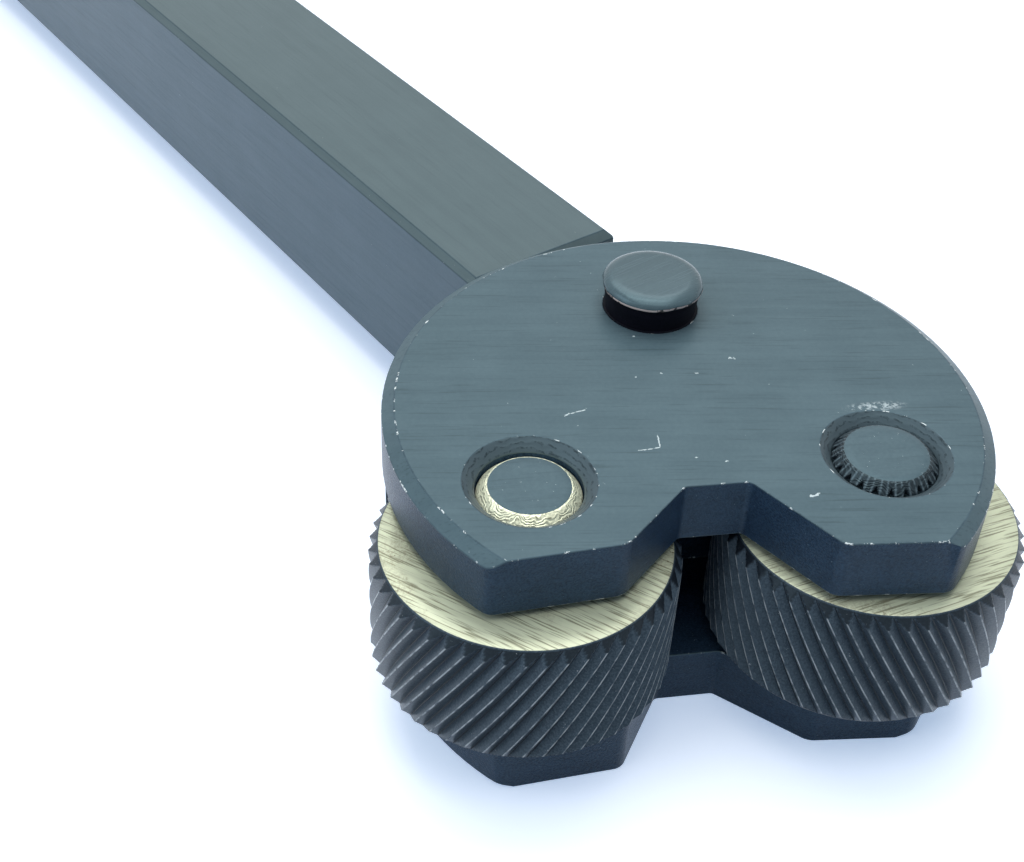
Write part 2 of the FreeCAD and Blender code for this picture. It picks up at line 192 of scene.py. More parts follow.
def along(*stops: tuple[float, float, int]) -> Array:
    """Points of a profile: straight runs through the stops, each run cut into its own number of steps.

    Args:
        stops: Radius, height and the steps of the run that ends there, for each stop.

    Returns:
        Radius and height of each point.
    """
    points = [np.array([stops[0][:2]])]
    for start, end in zip(stops, stops[1:]):
        share = np.linspace(0.0, 1.0, end[2] + 1)[1:, None]
        points.append(np.array(start[:2]) + share * (np.array(end[:2]) - np.array(start[:2])))
    return np.concatenate(points)


def merged_copy(
    node: str,
    name: str,
    edge_width: float,
    edge_angle: float,
    corner: Callable[[Vector], bool] | None = None,
    corner_width: float = 0.0,
) -> Piece:
    """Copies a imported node's mesh, joins its loose triangles and bevels its edges.

    Args:
        node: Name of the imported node.
        name: Name of the new object.
        edge_width: Width of the bevels.
        edge_angle: Angle between faces from which an edge is bevelled, in radians.
        corner: Says of an edge's middle whether the edge is rounded more widely first, where it is upright.
        corner_width: Width of that wider rounding.

    Returns:
        The new object. Its bevels have material slot 1 and all else slot 0.
    """
    merge_distance = 1e-6
    flat_angle = math.radians(0.4)
    shape = bmesh.new()
    shape.from_mesh(frame["nodes"][node].data)
    bmesh.ops.remove_doubles(shape, verts=shape.verts, dist=merge_distance)
    bmesh.ops.dissolve_limit(shape, angle_limit=flat_angle, verts=shape.verts, edges=shape.edges)
    for face in shape.faces:
        face.material_index = 0

    def sharp_edges() -> list[bmesh.types.BMEdge]:
        """Edges where two faces meet at more than the edge angle."""
        joined = [edge for edge in shape.edges if len(edge.link_faces) == 2]
        return [edge for edge in joined if edge.calc_face_angle() > edge_angle]

    if corner is not None:
        least_rise = 0.99
        ends = [(edge, *(vertex.co for vertex in edge.verts)) for edge in sharp_edges()]
        upright = [(edge, a, b) for edge, a, b in ends if abs((a - b).normalized().z) > least_rise]
        corners = [edge for edge, a, b in upright if corner((a + b) / 2)]
        bmesh.ops.bevel(
            shape,
            geom=corners,
            offset=corner_width,
            offset_type="WIDTH",
            segments=4,
            profile=0.5,
            affect="EDGES",
            clamp_overlap=False,
        )
    bmesh.ops.bevel(
        shape,
        geom=sharp_edges(),
        offset=edge_width,
        offset_type="WIDTH",
        segments=2,
        profile=0.5,
        affect="EDGES",
        clamp_overlap=False,
        material=1,
    )
    mesh = bpy.data.meshes.new(name)
    shape.to_mesh(mesh)
    shape.free()
    made = bpy.data.objects.new(name, mesh)
    bpy.context.scene.collection.objects.link(made)
    shade_smooth(made, math.radians(32))
    weighted = made.modifiers.new("even_normals", "WEIGHTED_NORMAL")
    weighted.keep_sharp = True
    weighted.weight = 80
    return made


# ---- Node groups that several finishes share ----


class Sheet:
    """A node tree that nodes are added to by kind, with their settings and links in one call."""

    def __init__(self, tree: bpy.types.NodeTree) -> None:
        self.tree = tree

    def add(self, kind: str, settings: dict | None = None, **inputs: object) -> bpy.types.Node:
        """Adds a node.

        Args:
            kind: Blender's name for the node's type.
            settings: Properties of the node itself.
            inputs: Values or sockets for its inputs. input_3 is input number 3, and an underscore is a space.

        Returns:
            The new node.
        """
        node = self.tree.nodes.new(kind)
        for key, value in (settings or {}).items():
            setattr(node, key, value)
        for key, value in inputs.items():
            place = int(key[6:]) if key.startswith("input_") else key.replace("_", " ")
            if isinstance(value, Socket):
                self.tree.links.new(value, node.inputs[place])
            else:
                node.inputs[place].default_value = value
        return node

    def math(self, operation: str, *values: object) -> Socket:
        """Result of a Math node on one to three values or sockets."""
        inputs = {f"input_{k}": value for k, value in enumerate(values)}
        return self.add("ShaderNodeMath", {"operation": operation}, **inputs).outputs[0]

    def ramp(
        self, value: object, low: float, high: float, start: float = 0.0, end: float = 1.0
    ) -> Socket:
        """A value carried smoothly from low..high to start..end, and held there outside."""
        settings = {"interpolation_type": "SMOOTHSTEP"}
        inputs = {"input_0": value, "input_1": low, "input_2": high, "input_3": start, "input_4": end}
        return self.add("ShaderNodeMapRange", settings, **inputs).outputs[0]

    def vector(self, operation: str, *values: object, result: str = "Vector") -> Socket:
        """Result of a Vector Math node on vectors or sockets."""
        inputs = {f"input_{k}": value for k, value in enumerate(values)}
        return self.add("ShaderNodeVectorMath", {"operation": operation}, **inputs).outputs[result]

    def noise(self, place: Socket, scale: object, detail: float, roughness: float = 0.5) -> Socket:
        """Value of a noise at a place."""
        inputs = {"Vector": place, "Scale": scale, "Detail": detail, "Roughness": roughness}
        return self.add("ShaderNodeTexNoise", None, **inputs).outputs[0]

    def emboss(self, shader: bpy.types.Node, height: Socket) -> None:
        """Tilts a shader's normal by a height in millimetres."""
        bump = self.add("ShaderNodeBump", None, Distance=MM, Height=height)
        self.tree.links.new(bump.outputs[0], shader.inputs["Normal"])

    def mix(self, share: object, first: object, second: object) -> Socket:
        """A colour between two others."""
        inputs = {"input_0": share, "input_6": first, "input_7": second}
        return self.add("ShaderNodeMix", {"data_type": "RGBA"}, **inputs).outputs[2]

    def mapped(self, place: Vector, turn: float, scale: tuple[float, float, float]) -> Socket:
        """Object coordinates about a place, turned about Z and scaled.

        A Texture mapping takes the place away first, then turns back by the angle and divides by the scale.
        """
        coordinates = self.add("ShaderNodeTexCoord").outputs["Object"]
        settings = {"vector_type": "TEXTURE"}
        node = self.add("ShaderNodeMapping", settings, Vector=coordinates, Location=place, Scale=scale)
        node.inputs["Rotation"].default_value = (0.0, 0.0, turn)
        return node.outputs[0]


def new_group(
    name: str, inputs: dict[str, tuple[str, object]], outputs: dict[str, str]
) -> tuple[Sheet, dict, dict]:
    """Starts a shader node group.

    Args:
        name: Name of the group.
        inputs: Socket type and default value for each input's name.
        outputs: Socket type for each output's name.

    Returns:
        The group's sheet, its input sockets by name, and the sockets that its results go to by name.
    """
    tree = bpy.data.node_groups.new(name, "ShaderNodeTree")
    for label, (kind, default) in inputs.items():
        socket = tree.interface.new_socket(label, in_out="INPUT", socket_type=kind)
        if default is not None:
            socket.default_value = default
    for label, kind in outputs.items():
        tree.interface.new_socket(label, in_out="OUTPUT", socket_type=kind)
    entry = tree.nodes.new("NodeGroupInput")
    leave = tree.nodes.new("NodeGroupOutput")
    return Sheet(tree), {n: entry.outputs[n] for n in inputs}, {n: leave.inputs[n] for n in outputs}


def streaks_group() -> bpy.types.NodeTree:
    """Fine straight streaks along X, as a belt or a grinding wheel leaves them."""
    inputs = {
        "Vector": ("NodeSocketVector", None),
        "Fineness": ("NodeSocketFloat", 9000.0),
        "Length": ("NodeSocketFloat", 40.0),
    }
    outputs = dict.fromkeys(("Fine", "Broad"), "NodeSocketFloat")
    sheet, given, results = new_group("Streaks", inputs, outputs)
    shrink = sheet.math("DIVIDE", 1.0, given["Length"])
    stretch = sheet.add("ShaderNodeCombineXYZ", None, X=shrink, Y=1.0, Z=1.0).outputs[0]
    scaled = sheet.vector("MULTIPLY", given["Vector"], stretch)
    fine = sheet.noise(scaled, given["Fineness"], 3.0)
    broad_scale = sheet.math("MULTIPLY", given["Fineness"], 0.18)
    broad = sheet.noise(scaled, broad_scale, 2.0)
    sheet.tree.links.new(fine, results["Fine"])
    sheet.tree.links.new(broad, results["Broad"])
    return sheet.tree


def grain_group() -> bpy.types.NodeTree:
    """A fine pitted grain and a slow blotchiness, the same in every direction."""
    inputs = {"Vector": ("NodeSocketVector", None), "Size": ("NodeSocketFloat", 0.25 * MM)}
    outputs = dict.fromkeys(("Fine", "Blotch"), "NodeSocketFloat")
    sheet, given, results = new_group("Grain", inputs, outputs)
    scale = sheet.math("DIVIDE", 1.0, given["Size"])
    fine = sheet.noise(given["Vector"], scale, 4.0, 0.65)
    blotch_scale = sheet.math("MULTIPLY", scale, 0.06)
    blotch = sheet.noise(given["Vector"], blotch_scale, 3.0)
    sheet.tree.links.new(fine, results["Fine"])
    sheet.tree.links.new(blotch, results["Blotch"])
    return sheet.tree


def chips_group() -> bpy.types.NodeTree:
    """Small bare spots where the blackening has chipped off: the peaks of a rough noise."""
    inputs = {
        "Vector": ("NodeSocketVector", None),
        "Size": ("NodeSocketFloat", 0.5 * MM),
        "Cover": ("NodeSocketFloat", 0.1),
    }
    sheet, given, results = new_group("Chips", inputs, {"Mask": "NodeSocketFloat"})
    scale = sheet.math("DIVIDE", 1.0, given["Size"])
    noise = sheet.noise(given["Vector"], scale, 5.0, 0.7)
    level = sheet.math("SUBTRACT", 0.72, sheet.math("MULTIPLY", given["Cover"], 0.4))
    above = sheet.math("SUBTRACT", noise, level)
    sheet.tree.links.new(sheet.ramp(above, 0.0, 0.03), results["Mask"])
    return sheet.tree


def turning_group() -> bpy.types.NodeTree:
    """Rings that a tool leaves round the Z axis, a little uneven: the sine of the radius plus a noise."""
    inputs = {
        "Vector": ("NodeSocketVector", None),
        "Pitch": ("NodeSocketFloat", 0.12 * MM),
        "Waver": ("NodeSocketFloat", 1.5),
    }
    sheet, given, results = new_group("Turning", inputs, {"Rings": "NodeSocketFloat"})
    flat = sheet.vector("MULTIPLY", given["Vector"], (1, 1, 0))
    radius = sheet.vector("LENGTH", flat, result="Value")
    noise = sheet.noise(given["Vector"], 900.0, 2.0)
    shift = sheet.math("MULTIPLY", sheet.math("SUBTRACT", noise, 0.5), given["Waver"])
    counted = sheet.math("DIVIDE", radius, given["Pitch"])
    turns = sheet.math("ADD", counted, sheet.math("MULTIPLY", shift, 4.0))
    wave = sheet.math("SINE", sheet.math("MULTIPLY", turns, 2.0 * math.pi))
    sheet.tree.links.new(sheet.math("MULTIPLY_ADD", wave, 0.5, 0.5), results["Rings"])
    return sheet.tree


def scratch_group() -> bpy.types.NodeTree:
    """A straight scratch on the XY plane: the points within a width of the line from Start to End."""
    inputs = {
        "Vector": ("NodeSocketVector", None),
        "Start": ("NodeSocketVector", (0.0, 0.0, 0.0)),
        "End": ("NodeSocketVector", (0.0, 0.0, 0.0)),
        "Width": ("NodeSocketFloat", 0.08 * MM),
    }
    sheet, given, results = new_group("Scratch", inputs, {"Mask": "NodeSocketFloat"})

    flat = sheet.vector("MULTIPLY", given["Vector"], (1, 1, 0))
    out = sheet.vector("SUBTRACT", flat, given["Start"])
    run = sheet.vector("SUBTRACT", given["End"], given["Start"])
    reach = sheet.vector("DOT_PRODUCT", out, run, result="Value")
    length = sheet.vector("DOT_PRODUCT", run, run, result="Value")
    share = sheet.add("ShaderNodeClamp", None, Value=sheet.math("DIVIDE", reach, length)).outputs[0]
    foot = sheet.add("ShaderNodeVectorMath", {"operation": "SCALE"}, input_0=run, Scale=share).outputs[0]
    gap = sheet.vector("DISTANCE", out, foot, result="Value")
    noise = sheet.noise(given["Vector"], 7000.0, 3.0)
    limit = sheet.math("MULTIPLY", given["Width"], sheet.ramp(noise, 0.35, 0.65))
    sheet.tree.links.new(sheet.math("LESS_THAN", gap, limit), results["Mask"])
    return sheet.tree


GROUPS = {
    "streaks": streaks_group(),
    "grain": grain_group(),
    "chips": chips_group(),
    "turning": turning_group(),
    "scratch": scratch_group(),
}


def place_group(sheet: Sheet, name: str, **inputs: object) -> bpy.types.Node:
    """Adds one of the shared groups to a material, with its own values."""
    node = sheet.add("ShaderNodeGroup", {"node_tree": GROUPS[name]})
    for key, value in inputs.items():
        if isinstance(value, Socket):
            sheet.tree.links.new(value, node.inputs[key])
        else:
            node.inputs[key].default_value = value
    return node


# ---- Finishes ----


def rgba(color: Color) -> tuple[float, float, float, float]:
    """A colour with full alpha."""
    return (*color, 1.0)


@dataclass(frozen=True)
class Finish:
    """A steel surface: its name and the plain values of its shader."""

    name: str
    roughness: float = 0.4
    metallic: float = 0.0
    specular: float = 0.5
    tint: Color = (1.0, 1.0, 1.0)

    def start(self) -> tuple[Sheet, bpy.types.Node, bpy.types.Material]:
        """Makes the material with its shader and the sheet that the rest goes on."""
        material = bpy.data.materials.new(self.name)
        material.use_nodes = True
        material.node_tree.nodes.clear()
        sheet = Sheet(material.node_tree)
        shader = sheet.add("ShaderNodeBsdfPrincipled", None, Roughness=self.roughness, Metallic=self.metallic)
        shader.inputs["Specular IOR Level"].default_value = self.specular
        shader.inputs["Specular Tint"].default_value = rgba(self.tint)
        output = sheet.add("ShaderNodeOutputMaterial")
        sheet.tree.links.new(shader.outputs[0], output.inputs[0])
        return sheet, shader, material


@dataclass(frozen=True)
class Scratch:
    """A straight scratch on the head's upper face, in the head's own axes."""

    start: tuple[float, float]
    end: tuple[float, float]
    width: float


@dataclass(frozen=True)
class BlackenedSteel(Finish):
    """Blackened steel with brush streaks, a grain, chips and single scratches.

    The colour runs from dark to light with the blotches, the broad streaks and the grain. Thin streaks darken
    it, and the chips and scratches are bare metal.
    """

    specular: float = 0.25
    tint: Color = (0.60, 0.90, 1.0)
    dark: Color = (0.060, 0.096, 0.112)
    light: Color = (0.086, 0.132, 0.150)
    bare: Color = (0.55, 0.62, 0.62)
    turn: float = 0.0
    streak_turn: float = 0.0
    center: tuple[float, float] = (0.0, 0.0)
    streak_share: float = 0.35
    streak_fineness: float = 7000.0
    streak_length: float = 26.0
    grain_size: float = 0.25 * MM
    grain_share: float = 0.3
    bump: float = 0.003 * MM
    grain_bump: float = 0.0
    chip_size: float = 0.35 * MM
    chip_cover: float = 0.0
    scratches: tuple[Scratch, ...] = field(default=())

    def build(self) -> bpy.types.Material:
        """Builds the material."""
        sheet, shader, material = self.start()
        place = sheet.mapped((*self.center, 0.0), self.turn, (1.0, 1.0, 1.0))
        brushed = sheet.mapped((*self.center, 0.0), self.turn + self.streak_turn, (1.0, 1.0, 1.0))
        streaks = place_group(
            sheet, "streaks", Vector=brushed, Fineness=self.streak_fineness, Length=self.streak_length
        )
        grain = place_group(sheet, "grain", Vector=place, Size=self.grain_size)
        wide = sheet.math("MULTIPLY", sheet.ramp(streaks.outputs["Broad"], 0.3, 0.7), 0.35)
        spots = sheet.math("MULTIPLY", sheet.ramp(grain.outputs["Fine"], 0.3, 0.7), self.grain_share)
        blotch = sheet.math("MULTIPLY", sheet.ramp(grain.outputs["Blotch"], 0.3, 0.7), 0.35)
        total = sheet.math("ADD", sheet.math("ADD", wide, spots), blotch)
        tone = sheet.math("DIVIDE", total, self.grain_share + 0.7)
        color = sheet.mix(tone, rgba(self.dark), rgba(self.light))
        groove = tuple(0.35 * value for value in self.dark)
        thin = sheet.math("MULTIPLY", sheet.ramp(streaks.outputs["Fine"], 0.55, 0.72), self.streak_share)
        color = sheet.mix(thin, color, rgba(groove))
        chips = place_group(sheet, "chips", Vector=place, Size=self.chip_size, Cover=self.chip_cover)
        worn = chips.outputs["Mask"]
        for mark in self.scratches:
            ends = {"Start": (*mark.start, 0.0), "End": (*mark.end, 0.0)}
            scratch = place_group(sheet, "scratch", Vector=place, Width=mark.width, **ends)
            worn = sheet.math("MAXIMUM", worn, scratch.outputs["Mask"])
        worn = self.more_wear(sheet, place, worn)
        color = sheet.mix(worn, color, rgba(self.bare))
        sheet.tree.links.new(color, shader.inputs["Base Color"])
        rough = sheet.math("MULTIPLY_ADD", streaks.outputs["Fine"], 0.16, self.roughness - 0.08)
        sheet.tree.links.new(rough, shader.inputs["Roughness"])
        height = sheet.math("MULTIPLY", streaks.outputs["Fine"], self.bump / MM)
        pits = sheet.math("MULTIPLY", grain.outputs["Fine"], self.grain_bump / MM)
        surface = sheet.math("ADD", height, pits)
        sheet.emboss(shader, surface)
        return material

    def more_wear(self, sheet: Sheet, place: Socket, worn: Socket) -> Socket:
        """Wear that only some surfaces have; none here."""
        return worn


@dataclass(frozen=True)
class ScuffedFace(BlackenedSteel):
    """A blackened face with light scuffs in a patch beside one hole."""

    scuff: tuple[float, float] = (0.0, 0.0)
    scuff_reach: float = 1.0 * MM
    scuff_depth: float = 0.35 * MM

    def more_wear(self, sheet: Sheet, place: Socket, worn: Socket) -> Socket:
        """Adds the patch: an oval about its middle, broken up by a noise."""
        out = sheet.vector("SUBTRACT", place, (*self.scuff, 0.0))
        shape = (1.0 / self.scuff_reach, 1.0 / self.scuff_depth, 0.0)
        oval = sheet.vector("MULTIPLY", out, shape)
        gap = sheet.vector("LENGTH", oval, result="Value")
        noise = sheet.noise(place, 3500.0, 4.0, 0.7)
        inside = sheet.ramp(gap, 0.4, 1.3, 1.0, 0.0)
        patch = sheet.math("MULTIPLY", inside, sheet.ramp(noise, 0.45, 0.62))
        return sheet.math("MAXIMUM", worn, sheet.math("MULTIPLY", patch, 0.75))


@dataclass(frozen=True)
class TurnedSteel(Finish):
    """Steel with the thin dark rings of a turning or countersinking tool about an upright axis.

    Where the mask "lip" is 1, along the edges of splines, the steel is rubbed light.
    """

    specular: float = 0.3
    tint: Color = (0.60, 0.90, 1.0)
    dark: Color = (0.010, 0.014, 0.018)
    light: Color = (0.06, 0.085, 0.098)
    rubbed: Color = (0.11, 0.15, 0.17)
    center: tuple[float, float] = (0.0, 0.0)
    pitch: float = 0.16 * MM
    waver: float = 0.5
    share: float = 0.8
    bump: float = 0.008 * MM

    def build(self) -> bpy.types.Material:
        """Builds the material."""
        sheet, shader, material = self.start()
        place = sheet.mapped((*self.center, 0.0), 0.0, (1.0, 1.0, 1.0))
        turning = place_group(sheet, "turning", Vector=place, Pitch=self.pitch, Waver=self.waver)
        grain = place_group(sheet, "grain", Vector=place, Size=0.35 * MM)
        rings = sheet.ramp(turning.outputs["Rings"], 0.62, 0.95)
        broken = sheet.ramp(grain.outputs["Fine"], 0.42, 0.62)
        mask = sheet.math("MULTIPLY", sheet.math("MULTIPLY", rings, broken), self.share)
        color = sheet.mix(mask, rgba(self.light), rgba(self.dark))
        lip = sheet.add("ShaderNodeAttribute", {"attribute_name": "lip"}).outputs["Fac"]
        light = sheet.math("MULTIPLY", lip, sheet.ramp(grain.outputs["Fine"], 0.35, 0.5))
        color = sheet.mix(light, color, rgba(self.rubbed))
        sheet.tree.links.new(color, shader.inputs["Base Color"])
        height = sheet.math("MULTIPLY", turning.outputs["Rings"], self.bump / MM)
        sheet.emboss(shader, height)
        return material


@dataclass(frozen=True)
class GroundSteel(Finish):
    """A bare ground face: thin straight grinding lines, a warm tarnish and brown rust specks."""

    pale: Color = (0.62, 0.66, 0.47)
    tarnish: Color = (0.12, 0.115, 0.060)
    rust: Color = (0.12, 0.075, 0.030)
    turn: float = 0.0
    center: tuple[float, float] = (0.0, 0.0)
    fineness: float = 8500.0
    rust_cover: float = 0.24

    def build(self) -> bpy.types.Material:
        """Builds the material."""
        sheet, shader, material = self.start()
        place = sheet.mapped((*self.center, 0.0), self.turn, (1.0, 1.0, 1.0))
        streaks = place_group(sheet, "streaks", Vector=place, Fineness=self.fineness, Length=22.0)
        grain = place_group(sheet, "grain", Vector=place, Size=0.16 * MM)
        lines = sheet.ramp(streaks.outputs["Fine"], 0.50, 0.66)
        wide = sheet.math("MULTIPLY", sheet.ramp(streaks.outputs["Broad"], 0.5, 0.8), 0.3)
        tone = sheet.math("MAXIMUM", sheet.math("MULTIPLY", lines, 0.75), wide)
        color = sheet.mix(tone, rgba(self.pale), rgba(self.tarnish))
        patches = sheet.noise(place, 260.0, 3.0)
        stain = sheet.ramp(patches, 0.48, 0.62)
        chips = place_group(sheet, "chips", Vector=place, Size=0.38 * MM, Cover=self.rust_cover)
        rust = sheet.math("MULTIPLY", chips.outputs["Mask"], stain)
        veil = sheet.math("MULTIPLY", stain, sheet.ramp(grain.outputs["Fine"], 0.4, 0.7, 0.05, 0.45))
        brown = sheet.math("MAXIMUM", sheet.math("MULTIPLY", rust, 0.85), veil)
        color = sheet.mix(brown, color, rgba(self.rust))
        sheet.tree.links.new(color, shader.inputs["Base Color"])
        rough = sheet.math("MULTIPLY_ADD", rust, 0.3, self.roughness)
        sheet.tree.links.new(rough, shader.inputs["Roughness"])
        height = sheet.math("MULTIPLY", streaks.outputs["Fine"], 0.008)
        sheet.emboss(shader, height)
        return material


@dataclass(frozen=True)
class ToothSteel(Finish):
    """Blackened teeth: bluish flanks, a black bevel, painted shade in the roots, a painted highlight along the
    crests in broken lines, and bare chips.
    """

    specular: float = 0.26
    tint: Color = (0.60, 0.85, 1.0)
    # root: near-black painted shade for the roots of the teeth; the bevel takes it too as its black oxide.
    root: Color = (0.004, 0.005, 0.008)
    flank: Color = (0.026, 0.040, 0.056)
    sheen: Color = (0.060, 0.086, 0.110)
    # rubbed: pale steel, painted along the crests as a highlight and in the chips as bare wear.
    rubbed: Color = (0.42, 0.46, 0.48)

    def build(self) -> bpy.types.Material:
        """Builds the material. Masks are 1 on a tooth's "crest", at its "root" and on the bevel's "cone"."""
        sheet, shader, material = self.start()
        place = sheet.mapped((0.0, 0.0, 0.0), 0.0, (1.0, 1.0, 1.0))
        grain = place_group(sheet, "grain", Vector=place, Size=0.14 * MM)
        color = sheet.mix(sheet.ramp(grain.outputs["Fine"], 0.35, 0.7), rgba(self.flank), rgba(self.sheen))
        masks = {
            name: sheet.add("ShaderNodeAttribute", {"attribute_name": name}).outputs["Fac"]
            for name in ("crest", "root", "cone")
        }
        # Painted shade in the roots; the black bevel is its oxide.
        bevel = sheet.math("MULTIPLY", masks["cone"], 0.85)
        black = sheet.math("MAXIMUM", sheet.ramp(masks["root"], 0.2, 1.0), bevel)
        color = sheet.mix(black, color, rgba(self.root))
        # A painted highlight along the crests, broken up by a noise.
        noise = sheet.noise(place, 1600.0, 4.0)
        line = sheet.math("MULTIPLY", sheet.ramp(masks["crest"], 0.5, 1.0), sheet.ramp(noise, 0.32, 0.62))
        color = sheet.mix(line, color, rgba(self.rubbed))
        chips = place_group(sheet, "chips", Vector=place, Size=0.3 * MM, Cover=0.12)
        color = sheet.mix(sheet.math("MULTIPLY", chips.outputs["Mask"], 0.7), color, rgba(self.rubbed))
        sheet.tree.links.new(color, shader.inputs["Base Color"])
        height = sheet.math("MULTIPLY", grain.outputs["Fine"], 0.02)
        sheet.emboss(shader, height)
        return material


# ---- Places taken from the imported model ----


def joint_axis(name: str) -> Array:
    """X and Y of a joint's axis in the row frame."""
    joint = next(joint for joint in frame["joints"] if joint["name"] == name)
    return np.array(joint["pos_m"][:2], float)


@dataclass(frozen=True)
class HeadAxes:
    """The head's own axes: X along the line of the wheels, Y back to the pivot, which is the origin."""

    left: Array
    right: Array

    @property
    def turn(self) -> float:
        """Angle of the head's X axis in the row frame, in radians."""
        run = self.right - self.left
        return math.atan2(run[1], run[0])

    def place(self, x: float, y: float) -> tuple[float, float]:
        """A point of the head in the row frame."""
        c, s = math.cos(self.turn), math.sin(self.turn)
        return (x * c - y * s, x * s + y * c)


AXES = HeadAxes(joint_axis("left_wheel_spin"), joint_axis("right_wheel_spin"))


def dress(piece: Piece, finishes: list, body: str, node: str) -> None:
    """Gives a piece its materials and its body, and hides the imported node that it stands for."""
    for finish in finishes:
        piece.data.materials.append(finish.build())
    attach(piece, body)
    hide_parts(node)
    log.info("%s: %d faces, rides on %s, stands for %s", piece.name, len(piece.data.polygons), body, node)


# ---- Sub-assemblies ----


@dataclass
class KnurlWheel:
    """A wheel with slanting V teeth on its rim and a ground ring on either side."""

    side: WheelSide
    center: Array
    node: str
    body: str
    face_turn: float
    face_radius: float = 8.925 * MM
    bevel_height: float = 0.75 * MM
    edge_round: float = 0.05 * MM
    bore_radius: float = 3.225 * MM
    tooth_count: int = 50
    tooth_depth: float = 0.5 * MM
    helix_slope: float = 0.577
    crest_share: float = 0.06
    root_share: float = 0.04

    def columns(self) -> Array:
        """Places across one tooth, in pitches from its crest, closer together at the crest and the root."""
        half = self.crest_share / 2
        inner = (0.2, 0.32, 0.43, 0.48, 0.52, 0.57, 0.68, 0.8)
        return np.array([-half, 0.0, half, half + 0.04, *inner, 0.96 - half])

    def depth(self, phase: Array) -> Array:
        """Depth below the crest: a V between the flat crests, with its last bit at either end rounded.

        Args:
            phase: Place across the tooth, in pitches from the crest.

        Returns:
            The share of the tooth's full depth.
        """
        gap = np.abs(phase - np.round(phase))
        run = 0.5 - self.crest_share / 2 - self.root_share / 2
        slope = np.clip((gap - self.crest_share / 2) / run, 0.0, 1.0)
        return slope * 0.92 + 0.08 * slope * slope * (3 - 2 * slope)

    def build(self) -> Piece:
        """Builds the wheel.

        Point (i, j) is at radius min(tooth(j), limit(i)) and angle j plus the helix's turn at that height, so
        the rings' places run along the teeth. The limit is the bevel's cone, and on the side faces the ring
        itself.
        """
        low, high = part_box(self.node)
        width = high.z - low.z
        radius = (high.x - low.x + high.y - low.y) / 4
        round_ = self.edge_round
        beyond = radius + round_
        outline = along(
            (self.bore_radius, 0.0, 0),
            (self.face_radius - round_, 0.0, 6),
            (self.face_radius + round_, round_, 2),
            (radius, self.bevel_height, 10),
            (beyond, self.bevel_height + round_, 1),
            (beyond, width - self.bevel_height - round_, 22),
            (radius, width - self.bevel_height, 1),
            (self.face_radius + round_, width - round_, 10),
            (self.face_radius - round_, width, 2),
            (self.bore_radius, width, 6),
        )
        phases = (np.arange(self.tooth_count)[:, None] + self.columns()[None, :]).ravel()
        depth = self.depth(phases) * self.tooth_depth
        radii = np.minimum(radius - depth[None, :], outline[:, :1])
        slant = self.side.value * self.helix_slope * outline[:, 1] / radius
        angles = AXES.turn + 2 * math.pi * phases[None, :] / self.tooth_count + slant[:, None]
        rings = turned_rings(radii, low.z + outline[:, 1], angles, self.center)
        toothed = (outline[:, 1] > self.edge_round) & (outline[:, 1] < width - self.edge_round)
        cut = radius - depth[None, :] < outline[:, :1]
        # Masks for the painted highlight on the crests and the painted shade in the roots.
        crest = np.where(radii > radius - 0.02 * MM, 1.0, 0.0)
        root = np.where(cut & (depth[None, :] > 0.9 * self.tooth_depth), 1.0, 0.0)
        cone = np.where(~cut & toothed[:, None] & (outline[:, :1] < radius), 1.0, 0.0)
        masks = {"crest": crest, "root": root, "cone": cone}
        wheel = ring_surface(f"{self.node}_surface", rings, masks, wrap=True)
        ring = ring_numbers(wheel)
        face_rings = 7
        on_face = (ring < face_rings) | (ring >= len(outline) - 1 - face_rings)
        wheel.data.polygons.foreach_set("material_index", np.where(on_face, 1, 0).astype(np.int32))
        shade_smooth(wheel, math.radians(28))
        teeth = ToothSteel(f"blackened_teeth_{self.side.name.lower()}", roughness=0.33)
        face = GroundSteel(
            f"ground_face_{self.side.name.lower()}",
            roughness=0.42,
            metallic=0.25,
            turn=self.face_turn,
            center=tuple(self.center),
        )
        dress(wheel, [teeth, face], self.body, self.node)
        return wheel


